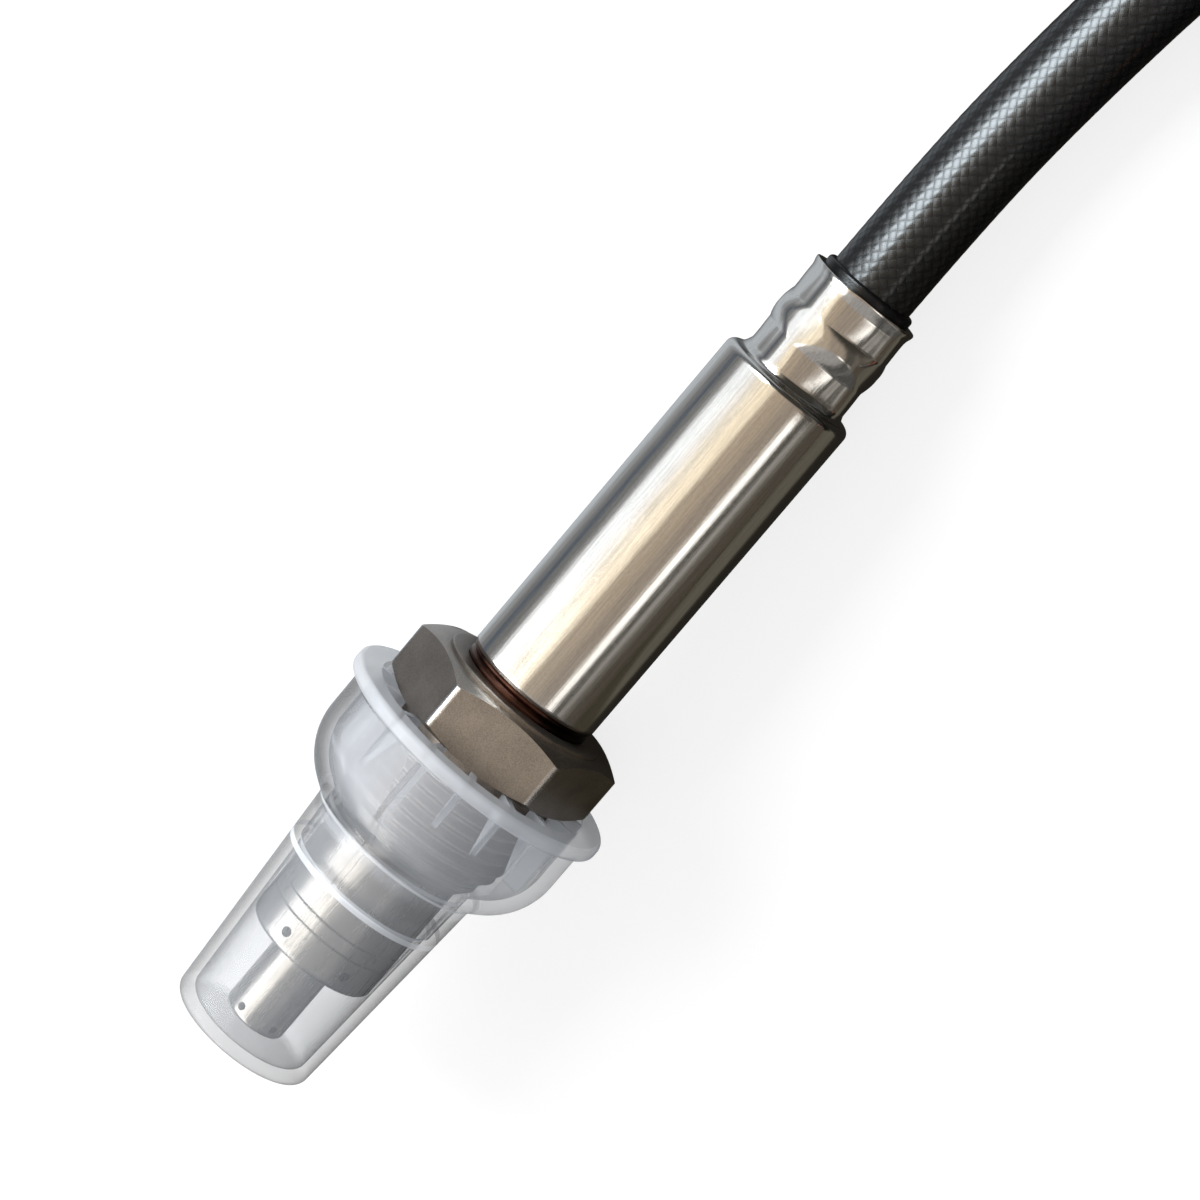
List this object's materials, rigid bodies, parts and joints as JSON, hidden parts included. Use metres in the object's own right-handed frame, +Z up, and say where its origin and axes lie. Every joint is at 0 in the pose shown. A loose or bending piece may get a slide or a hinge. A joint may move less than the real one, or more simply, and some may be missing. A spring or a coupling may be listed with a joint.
{
  "type": "nitrogen oxide sensor",
  "caption": "Exhaust gas probe lying on its side: screw nut that turns freely, polished crimped sleeve, translucent push-on cap over the gas inlet, and a braided lead coiled to a plug.",
  "frame": {"origin": "on the surface the probe lies on, under the middle of the box round the probe and its cap", "axes": "+X from the cap's tip towards the lead, +Z up from the surface"},
  "size_m": [0.2247, 0.1344, 0.0312],
  "materials": {
    "cap_plastic": "milky, translucent natural moulding",
    "nut_steel": "dull dark machined steel",
    "shell_steel": "turned, heat tinted at the weld",
    "tube_steel": "drawn, satin",
    "sleeve_steel": "polished drawn steel",
    "spring_steel": "rolled strip",
    "contact_metal": "plated strip",
    "element_ceramic": "fired, fine",
    "packing_ceramic": "fired, matt",
    "holder_ceramic": "fired, matt",
    "talc": "pressed powder",
    "wire_insulation": "smooth extruded",
    "grommet_rubber": "moulded, semi gloss",
    "cable_braid": "glossy black braid",
    "tie_fabric": "woven strap",
    "connector_plastic": "fine textured moulding",
    "latch_plastic": "fine textured moulding",
    "seal_rubber": "smooth silicone"
  },
  "bodies": {
    "probe": {"housing": "shell_steel", "outer_protection_tube": "tube_steel", "inner_protection_tube": "tube_steel", "sensor_element": "element_ceramic", "sleeve": "sleeve_steel", "contact_holder_upper": "holder_ceramic", "contact_holder_lower": "holder_ceramic", "contact_springs": "contact_metal", "holder_clip": "spring_steel", "wire_ferrules": "contact_metal", "lead_wires": "wire_insulation", "grommet": "grommet_rubber", "lower_ceramic_bush": "packing_ceramic", "lower_talc_ring": "talc", "middle_ceramic_bush": "packing_ceramic", "upper_talc_ring": "talc", "upper_ceramic_bush": "packing_ceramic", "lock_ring": "spring_steel", "cable": "cable_braid", "cable_coil": "cable_braid", "coil_tie": "tie_fabric", "connector_housing": "connector_plastic", "connector_terminals": "contact_metal", "connector_latch": "latch_plastic", "connector_seal": "seal_rubber", "connector_boot": "grommet_rubber"},
    "nut": {"union_nut": "nut_steel"},
    "cap": {"protective_cap": "cap_plastic"}
  },
  "joints": [
    {"name": "nut_swivel", "type": "hinge", "parent": "probe", "child": "nut", "pos_m": [-0.00694, 0, 0.01507], "axis": [0.9914, 0, -0.1305], "continuous": true},
    {"name": "cap_pull_off", "type": "slide", "parent": "nut", "child": "cap", "axis": [-0.9914, 0, 0.1305], "range_m": [0, 0.045]}
  ]
}
